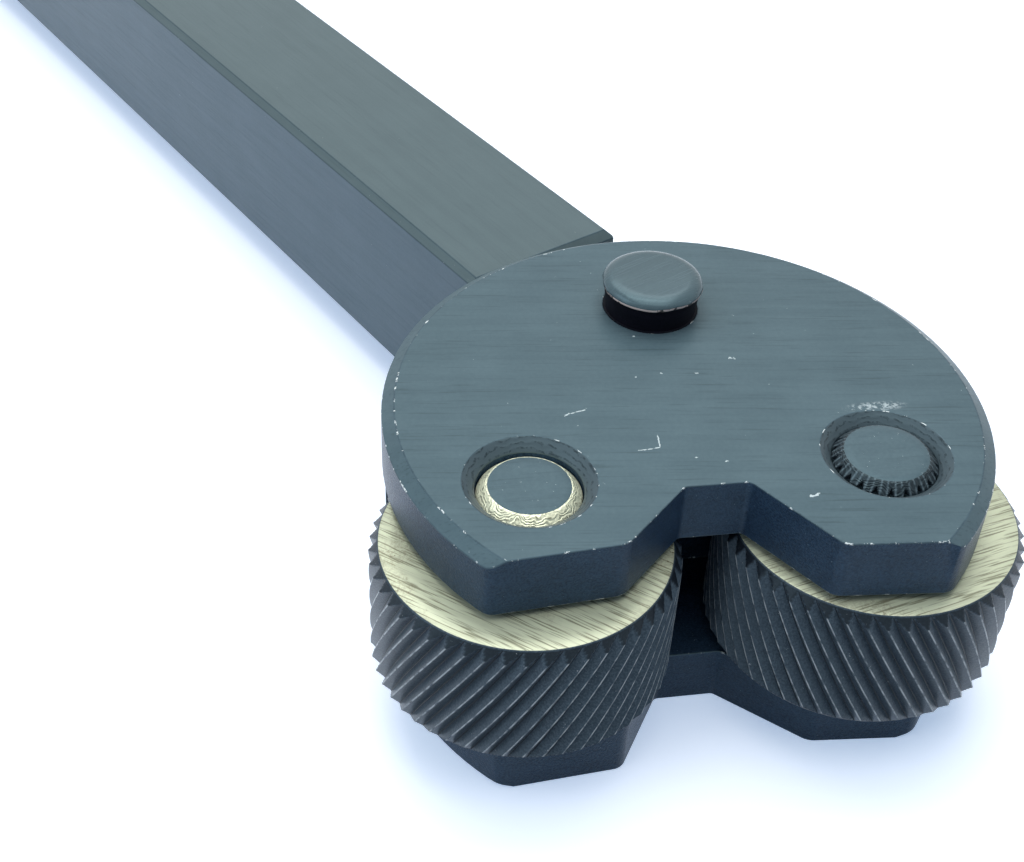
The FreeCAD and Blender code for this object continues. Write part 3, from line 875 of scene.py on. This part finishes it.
@dataclass
class WheelPin:
    """A wheel pin with a splined and a plain end, and a bevel on each."""

    splined: SplinedEnd
    center: Array
    node: str
    radius: float = 3.175 * MM
    splined_radius: float = 3.25 * MM
    bevel_width: float = 0.62 * MM
    bevel_height: float = 0.67 * MM
    spline_count: int = 21
    spline_length: float = 4.0 * MM
    spline_depth: float = 0.36 * MM
    spline_gap: float = 0.55
    around: int = 336

    def build(self) -> Piece:
        """Builds the pin.

        The radius is the turned profile, and over the splined length no more than the splines': the splined
        radius less a V for each gap, as deep as the share of half a gap that is left to the gap's middle.
        """
        low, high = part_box(self.node)
        length = high.z - low.z
        ends = {True: self.splined_radius, False: self.radius}
        lower = ends[self.splined is SplinedEnd.LOWER]
        upper = ends[self.splined is SplinedEnd.UPPER]
        start = self.spline_length if self.splined is SplinedEnd.LOWER else length - self.spline_length
        soft = 0.06 * MM
        tip = self.bevel_width
        outline = along(
            (0.4 * MM, 0.0, 0),
            (lower - tip - soft, 0.0, 4),
            (lower - tip + soft, soft, 2),
            (lower - soft, self.bevel_height - soft, 9),
            (lower, self.bevel_height + soft, 2),
            (lower, start, 5),
            (upper, start + soft, 1),
            (upper, length - self.bevel_height - soft, 5),
            (upper - soft, length - self.bevel_height + soft, 2),
            (upper - tip + soft, length - soft, 9),
            (upper - tip - soft, length, 2),
            (0.4 * MM, length, 4),
        )
        heights = outline[:, 1]
        angles = AXES.turn + 2 * math.pi * np.arange(self.around) / self.around
        place = np.arange(self.around) * self.spline_count / self.around
        from_gap = np.abs(place - np.round(place)) * 2 / self.spline_gap
        splines = self.splined_radius - self.spline_depth * np.clip(1 - from_gap, 0, 1)
        inside = heights < start if self.splined is SplinedEnd.LOWER else heights > start + soft / 2
        limit = np.where(inside[:, None], splines[None, :], self.splined_radius)
        radii = np.minimum(outline[:, :1], limit)
        lip = np.exp(-(((from_gap - 1.0) / 0.22) ** 2))[None, :] * inside[:, None]
        rings = turned_rings(radii, low.z + heights, angles, self.center)
        pin = ring_surface(f"{self.node}_surface", rings, {"lip": lip}, wrap=False)
        ring = ring_numbers(pin)
        last = len(outline) - 1
        inner, outer = 4, 17
        on_bevel = ((ring >= inner) & (ring < outer)) | ((ring >= last - outer) & (ring < last - inner))
        pin.data.polygons.foreach_set("material_index", on_bevel.astype(np.int32))
        shade_smooth(pin, math.radians(30))
        plain_up = self.splined is SplinedEnd.LOWER
        end = BlackenedSteel(
            f"{self.node}_end",
            roughness=0.36,
            turn=AXES.turn,
            center=tuple(self.center),
            grain_share=0.6,
            streak_share=0.2,
            chip_cover=0.12,
            chip_size=0.3 * MM,
        )
        bevel = TurnedSteel(
            f"{self.node}_bevel",
            roughness=0.34,
            metallic=0.4 if plain_up else 0.0,
            specular=0.5 if plain_up else 0.35,
            tint=(1.0, 1.0, 0.9) if plain_up else (0.6, 0.9, 1.0),
            center=tuple(self.center),
            light=(0.80, 0.82, 0.60) if plain_up else (0.014, 0.020, 0.026),
            dark=(0.10, 0.10, 0.06) if plain_up else (0.004, 0.005, 0.007),
            pitch=0.15 * MM,
            waver=2.2,
            bump=0.02 * MM,
        )
        dress(pin, [end, bevel], "swivel_head", self.node)
        return pin


@dataclass
class PivotRivet:
    """The pivot rivet: a flush foot, a straight body and a spread cap with a torn burr at its edge."""

    node: str = "pivot_rivet"
    body_radius: float = 3.175 * MM
    foot_radius: float = 3.8 * MM
    foot_height: float = 0.8 * MM
    neck_radius: float = 3.05 * MM
    burr_radius: float = 3.38 * MM
    cap_flat_radius: float = 2.35 * MM
    cap_height: float = 0.62 * MM
    burr_wander: float = 0.035 * MM
    around: int = 240

    def build(self) -> Piece:
        """Builds the rivet.

        The cap is a quarter of an ellipse from the burr to the flat top. The burr's radius and height wander by
        a sum of sines of the angle.
        """
        low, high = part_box(self.node)
        head_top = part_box("head")[1].z
        top = high.z - low.z
        edge = top - self.cap_height
        below = 0.12 * MM
        stem = along(
            (0.4 * MM, 0.0, 0),
            (self.foot_radius, 0.0, 5),
            (self.body_radius, self.foot_height, 4),
            (self.body_radius, head_top, 6),
            (self.neck_radius, head_top + 0.04 * MM, 1),
            (self.neck_radius + 0.12 * MM, edge - 2 * below, 6),
            (self.burr_radius - 0.02 * MM, edge - below / 2, 3),
            (self.burr_radius, edge, 2),
        )
        swing = np.linspace(0.0, math.pi / 2, 13)[1:]
        span = self.burr_radius - self.cap_flat_radius
        cap_radii = self.cap_flat_radius + span * np.cos(swing)
        cap = np.stack([cap_radii, edge + self.cap_height * np.sin(swing)], 1)
        top_rings = along((self.cap_flat_radius, top, 0), (0.4 * MM, top, 5))[1:]
        outline = np.concatenate([stem, cap, top_rings])
        angles = 2 * math.pi * np.arange(self.around) / self.around
        wander = np.sin(3 * angles + 0.7) + 0.6 * np.sin(7 * angles + 2.0)
        wander += 0.5 * np.sin(17 * angles) * np.sin(2 * angles)
        share = np.exp(-(((outline[:, 1] - edge) / (2 * below)) ** 2))
        share[outline[:, 1] < head_top] = 0.0
        radii = outline[:, :1] - share[:, None] * self.burr_wander * np.abs(wander)[None, :]
        rings = turned_rings(radii, outline[:, 1], angles, np.zeros(2))
        rings[..., 2] += low.z + share[:, None] * self.burr_wander * wander[None, :]
        rivet = ring_surface(f"{self.node}_surface", rings, {}, wrap=False)
        ring = ring_numbers(rivet)
        burr_ring = len(stem) - 1
        # Slot 2, the neck under the burr and the hidden body and foot, is near-black painted shade under the
        # cap.
        index = np.select([(ring >= burr_ring - 3) & (ring < burr_ring + 1), ring < burr_ring - 3], [1, 2], 0)
        rivet.data.polygons.foreach_set("material_index", index.astype(np.int32))
        shade_smooth(rivet, math.radians(40))
        cap_finish = BlackenedSteel(
            "rivet_cap",
            roughness=0.26,
            specular=0.45,
            dark=(0.050, 0.080, 0.092),
            light=(0.070, 0.108, 0.122),
            streak_share=0.1,
            bump=0.001 * MM,
            grain_share=0.3,
        )
        burr = BlackenedSteel(
            "rivet_burr",
            roughness=0.38,
            dark=(0.010, 0.009, 0.010),
            light=(0.06, 0.05, 0.045),
            bare=(0.70, 0.56, 0.50),
            chip_size=0.9 * MM,
            chip_cover=0.62,
            grain_bump=0.01 * MM,
        )
        # Near-black painted shade on the neck under the cap.
        neck = BlackenedSteel(
            "rivet_neck",
            roughness=0.6,
            specular=0.08,
            dark=(0.0015, 0.0015, 0.003),
            light=(0.006, 0.005, 0.010),
        )
        dress(rivet, [cap_finish, burr, neck], "swivel_head", self.node)
        return rivet


@dataclass
class SwivelHead:
    """The slotted head: brushed faces, grained walls darkened with painted shade, worn edges and countersinks
    with tool marks.
    """

    node: str = "head"
    edge_width: float = 0.11 * MM
    edge_angle: float = math.radians(24)
    sink_radius: float = 4.02 * MM
    corner_width: float = 0.8 * MM
    corner_start: float = 5.0 * MM
    face_band: float = 1.0 * MM
    face_tilt: float = 0.4
    level_tilt: float = 0.98

    def build(self) -> Piece:
        """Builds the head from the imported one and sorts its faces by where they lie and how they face."""
        to_wheels = float(np.linalg.norm(AXES.left + AXES.right)) / 2
        ahead = (AXES.left + AXES.right) / 2 / to_wheels
        reach = to_wheels + self.corner_start

        def in_front(middle: Vector) -> bool:
            """Whether a point lies further ahead than the wheels' axes by more than the corners' start."""
            return middle.x * ahead[0] + middle.y * ahead[1] > reach

        head = merged_copy(
            self.node, "head_surface", self.edge_width, self.edge_angle, in_front, self.corner_width
        )
        mesh = head.data
        count = len(mesh.polygons)
        middle = np.zeros(count * 3)
        normal = np.zeros(count * 3)
        index = np.zeros(count, np.int32)
        mesh.polygons.foreach_get("center", middle)
        mesh.polygons.foreach_get("normal", normal)
        mesh.polygons.foreach_get("material_index", index)
        middle, normal = middle.reshape(-1, 3), normal.reshape(-1, 3)
        low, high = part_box(self.node)
        outer = (middle[:, 2] > high.z - self.face_band) | (middle[:, 2] < low.z + self.face_band)
        tilted = np.abs(normal[:, 2])
        # The walls take slot 2, whose darker, bluer colour is painted shade.
        index[(index == 0) & ~(outer & (tilted > self.face_tilt))] = 2
        for place, axis in enumerate((AXES.left, AXES.right)):
            near = np.hypot(middle[:, 0] - axis[0], middle[:, 1] - axis[1]) < self.sink_radius
            index[near & outer & (tilted < self.level_tilt)] = 3 + place
        mesh.polygons.foreach_set("material_index", index)
        dress(head, self.finishes(), "swivel_head", self.node)
        return head

    def finishes(self) -> list[Finish]:
        """The head's finishes, in the order of its material slots.

        A scratch's row has its two ends, sideways and behind the line of the wheels, and its width, in mm.
        """
        half = float(np.linalg.norm(AXES.right - AXES.left)) / 2
        ahead = -float(np.linalg.norm(AXES.right + AXES.left)) / 2
        rows = (
            (-2.55, 3.15, -2.65, 2.05, 0.05),
            (-2.65, 2.05, -3.2, 1.95, 0.05),
            (-3.2, 1.95, -4.0, 1.9, 0.05),
            (-7.5, 5.75, -6.5, 6.0, 0.05),
            (-7.85, 5.6, -7.5, 5.75, 0.09),
            (5.1, -3.2, 5.7, -3.1, 0.13),
            (3.9, 10.15, 4.1, 10.1, 0.14),
            (1.30, 8.85, 1.40, 8.85, 0.10),
            (-1.90, 13.15, -1.80, 13.15, 0.09),
            (-2.75, 8.9, -2.65, 8.9, 0.08),
            (-0.95, 9.1, -0.90, 9.1, 0.07),
            (-0.75, 0.9, -0.65, 0.9, 0.08),
            (1.0, 0.35, 1.12, 0.35, 0.12),
        )
        marks = tuple(
            Scratch((x * MM, ahead + y * MM), (end_x * MM, ahead + end_y * MM), width * MM)
            for x, y, end_x, end_y, width in rows
        )
        face = ScuffedFace(
            "head_face",
            roughness=0.38,
            turn=AXES.turn,
            streak_turn=math.radians(-6),
            chip_cover=0.03,
            chip_size=0.5 * MM,
            scratches=marks,
            scuff=(half + 0.8 * MM, ahead + 4.35 * MM),
            scuff_reach=1.9 * MM,
            scuff_depth=0.45 * MM,
        )
        edge = BlackenedSteel(
            "head_edge",
            roughness=0.36,
            turn=AXES.turn,
            dark=(0.034, 0.058, 0.074),
            light=(0.080, 0.125, 0.150),
            bare=(0.75, 0.80, 0.78),
            chip_size=0.6 * MM,
            chip_cover=0.36,
        )
        # The walls: a real coarse grain and pits, under a dark blue colour that is painted shade.
        shaded_wall = BlackenedSteel(
            "head_wall_painted_shade",
            roughness=0.34,
            specular=0.18,
            turn=AXES.turn,
            dark=(0.006, 0.015, 0.032),
            light=(0.032, 0.064, 0.112),
            bare=(0.22, 0.32, 0.40),
            streak_share=0.0,
            grain_size=0.14 * MM,
            grain_share=1.6,
            bump=0.0,
            grain_bump=0.045 * MM,
            chip_size=0.16 * MM,
            chip_cover=0.12,
        )
        sinks = [
            TurnedSteel(
                f"countersink_{side}", roughness=0.40, center=tuple(axis), pitch=0.30 * MM, waver=0.55
            )
            for side, axis in (("left", AXES.left), ("right", AXES.right))
        ]
        return [face, edge, shaded_wall, *sinks]


@dataclass
class Shank:
    """The shank with its tongue: a smooth satin bar, whose sideways faces have a bluer copy of its colour as
    painted shade.
    """

    node: str = "shank"
    edge_width: float = 0.12 * MM
    edge_angle: float = math.radians(24)

    def build(self) -> Piece:
        """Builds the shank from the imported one."""
        shank = merged_copy(self.node, "shank_surface", self.edge_width, self.edge_angle)
        mesh = shank.data
        count = len(mesh.polygons)
        normal = np.zeros(count * 3)
        mesh.polygons.foreach_get("normal", normal)
        sideways = np.abs(normal.reshape(-1, 3)[:, 0]) > 0.9
        index = np.zeros(count, np.int32)
        mesh.polygons.foreach_get("material_index", index)
        # Sideways faces take slot 2, a bluer copy of the face colour that is painted shade.
        index[(index == 0) & sideways] = 2
        mesh.polygons.foreach_set("material_index", index)
        along_bar = math.pi / 2
        face = BlackenedSteel(
            "shank_face",
            roughness=0.38,
            turn=along_bar,
            dark=(0.080, 0.112, 0.118),
            light=(0.096, 0.132, 0.138),
            streak_share=0.12,
            bump=0.001 * MM,
            grain_share=0.2,
        )
        edge = BlackenedSteel(
            "shank_edge",
            roughness=0.40,
            turn=along_bar,
            dark=(0.035, 0.058, 0.070),
            light=(0.060, 0.092, 0.108),
            streak_share=0.1,
            chip_size=0.5 * MM,
            chip_cover=0.10,
        )
        # The sides' bluer colour is painted shade.
        side = BlackenedSteel(
            "shank_side_painted_shade",
            roughness=0.40,
            specular=0.3,
            turn=along_bar,
            dark=(0.062, 0.102, 0.132),
            light=(0.084, 0.128, 0.164),
            streak_share=0.12,
            bump=0.001 * MM,
            grain_share=0.3,
        )
        dress(shank, [face, edge, side], "shank", self.node)
        return shank


# ---- Studio ----


@dataclass
class Studio:
    """The floor, the soft lights and the camera."""

    camera_place: tuple[float, float, float] = (-59.41 * MM, -62.12 * MM, 79.61 * MM)
    camera_azimuth: float = math.radians(-37.82)
    camera_elevation: float = math.radians(40.20)
    camera_roll: float = math.radians(2.90)
    lens: float = 54.54
    floor_half: float = 4.0
    near_floor: float = 0.16
    far_floor: float = 0.42

    def camera(self) -> None:
        """Makes the camera. Azimuth 0 looks along +Y and 90 degrees along -X."""
        data = bpy.data.cameras.new("camera")
        data.lens = self.lens
        data.sensor_width = 36.0
        data.clip_start = 1.0 * MM
        data.clip_end = 50.0
        camera = bpy.data.objects.new("camera", data)
        bpy.context.scene.collection.objects.link(camera)
        level = math.cos(self.camera_elevation)
        ahead = Vector(
            (
                -math.sin(self.camera_azimuth) * level,
                math.cos(self.camera_azimuth) * level,
                -math.sin(self.camera_elevation),
            )
        )
        camera.location = self.camera_place
        camera.rotation_mode = "QUATERNION"
        camera.rotation_quaternion = ahead.to_track_quat("-Z", "Y") @ Quaternion((0, 0, 1), self.camera_roll)
        bpy.context.scene.camera = camera

    def floor(self) -> None:
        """Makes the floor: bluish where the object shades it, and white elsewhere and far away."""
        mesh = bpy.data.meshes.new("floor")
        half = self.floor_half
        corners = [(-half, -half, 0.0), (half, -half, 0.0), (half, half, 0.0), (-half, half, 0.0)]
        mesh.from_pydata(corners, [], [(0, 1, 2, 3)])
        floor = bpy.data.objects.new("floor", mesh)
        bpy.context.scene.collection.objects.link(floor)
        floor.location.z = -0.01 * MM
        material = bpy.data.materials.new("floor")
        material.use_nodes = True
        material.node_tree.nodes.clear()
        sheet = Sheet(material.node_tree)
        seen = self.seen(sheet)
        pale = sheet.mix(seen, (0.50, 0.50, 0.50, 1.0), (1.0, 0.97, 0.93, 1.0))
        diffuse = sheet.add("ShaderNodeBsdfDiffuse", None, Color=pale)
        coordinates = sheet.add("ShaderNodeTexCoord").outputs["Object"]
        distance = sheet.vector("LENGTH", coordinates, result="Value")
        far = sheet.ramp(distance, self.near_floor, self.far_floor)
        glow_color = sheet.mix(far, (0.26, 0.35, 0.50, 1.0), (1.0, 1.0, 1.0, 1.0))
        glow = sheet.add("ShaderNodeEmission", None, Color=glow_color, Strength=seen)
        both = sheet.add("ShaderNodeAddShader", None, input_0=diffuse.outputs[0], input_1=glow.outputs[0])
        output = sheet.add("ShaderNodeOutputMaterial")
        sheet.tree.links.new(both.outputs[0], output.inputs[0])
        mesh.materials.append(material)

    @staticmethod
    def seen(sheet: Sheet) -> Socket:
        """1 for the rays that show a background: the camera's, glossy ones and transmitted ones."""
        path = sheet.add("ShaderNodeLightPath").outputs
        direct = sheet.math("MAXIMUM", path["Is Camera Ray"], path["Is Glossy Ray"])
        return sheet.math("MAXIMUM", direct, path["Is Transmission Ray"])

    def world(self) -> None:
        """Makes the world: white behind the object and in its gloss, and a weak bluish light elsewhere."""
        world = bpy.data.worlds.new("world")
        bpy.context.scene.world = world
        world.use_nodes = True
        world.node_tree.nodes.clear()
        sheet = Sheet(world.node_tree)
        color = sheet.mix(self.seen(sheet), (0.20, 0.25, 0.34, 1.0), (1.0, 1.0, 1.0, 1.0))
        background = sheet.add("ShaderNodeBackground", None, Color=color)
        output = sheet.add("ShaderNodeOutputWorld")
        sheet.tree.links.new(background.outputs[0], output.inputs[0])

    def lamp(
        self, name: str, azimuth: float, elevation: float, side: float, power: float, color: Color
    ) -> None:
        """Hangs a square soft lamp that faces the head.

        Args:
            name: Name of the lamp.
            azimuth: Where it hangs, in degrees from +X towards +Y.
            elevation: How high it hangs, in degrees.
            side: Length of its sides.
            power: Its power, in watts.
            color: Its colour.
        """
        distance = 0.7
        data = bpy.data.lights.new(name, "AREA")
        data.shape = "SQUARE"
        data.size = side
        data.energy = power
        data.color = color
        lamp = bpy.data.objects.new(name, data)
        bpy.context.scene.collection.objects.link(lamp)
        a, e = math.radians(azimuth), math.radians(elevation)
        out = Vector((math.cos(a) * math.cos(e), math.sin(a) * math.cos(e), math.sin(e)))
        aim = Vector((*((AXES.left + AXES.right) / 2), 10 * MM))
        lamp.location = aim + out * distance
        lamp.rotation_mode = "QUATERNION"
        lamp.rotation_quaternion = (-out).to_track_quat("-Z", "Y")

    def build(self) -> None:
        """Builds the studio."""
        bpy.context.scene.view_settings.view_transform = "Standard"
        self.camera()
        self.floor()
        self.world()
        self.lamp("back_softbox", 62.0, 62.0, 0.55, 2.6, (1.0, 1.0, 0.97))
        self.lamp("top_softbox", 240.0, 86.0, 0.60, 2.6, (1.0, 1.0, 0.97))
        self.lamp("left_softbox", 160.0, 32.0, 0.45, 1.5, (0.86, 0.92, 1.0))


def main() -> None:
    """Builds the pieces in order, then the studio."""
    logging.basicConfig(level=logging.INFO, format="%(name)s: %(message)s")
    Shank().build()
    SwivelHead().build()
    KnurlWheel(WheelSide.LEFT, AXES.left, "left_knurl_wheel", "left_wheel", math.radians(-66)).build()
    KnurlWheel(WheelSide.RIGHT, AXES.right, "right_knurl_wheel", "right_wheel", math.radians(-13)).build()
    WheelPin(SplinedEnd.LOWER, AXES.left, "left_wheel_pin").build()
    WheelPin(SplinedEnd.UPPER, AXES.right, "right_wheel_pin").build()
    PivotRivet().build()
    Studio().build()


if __name__ == "__main__":
    main()
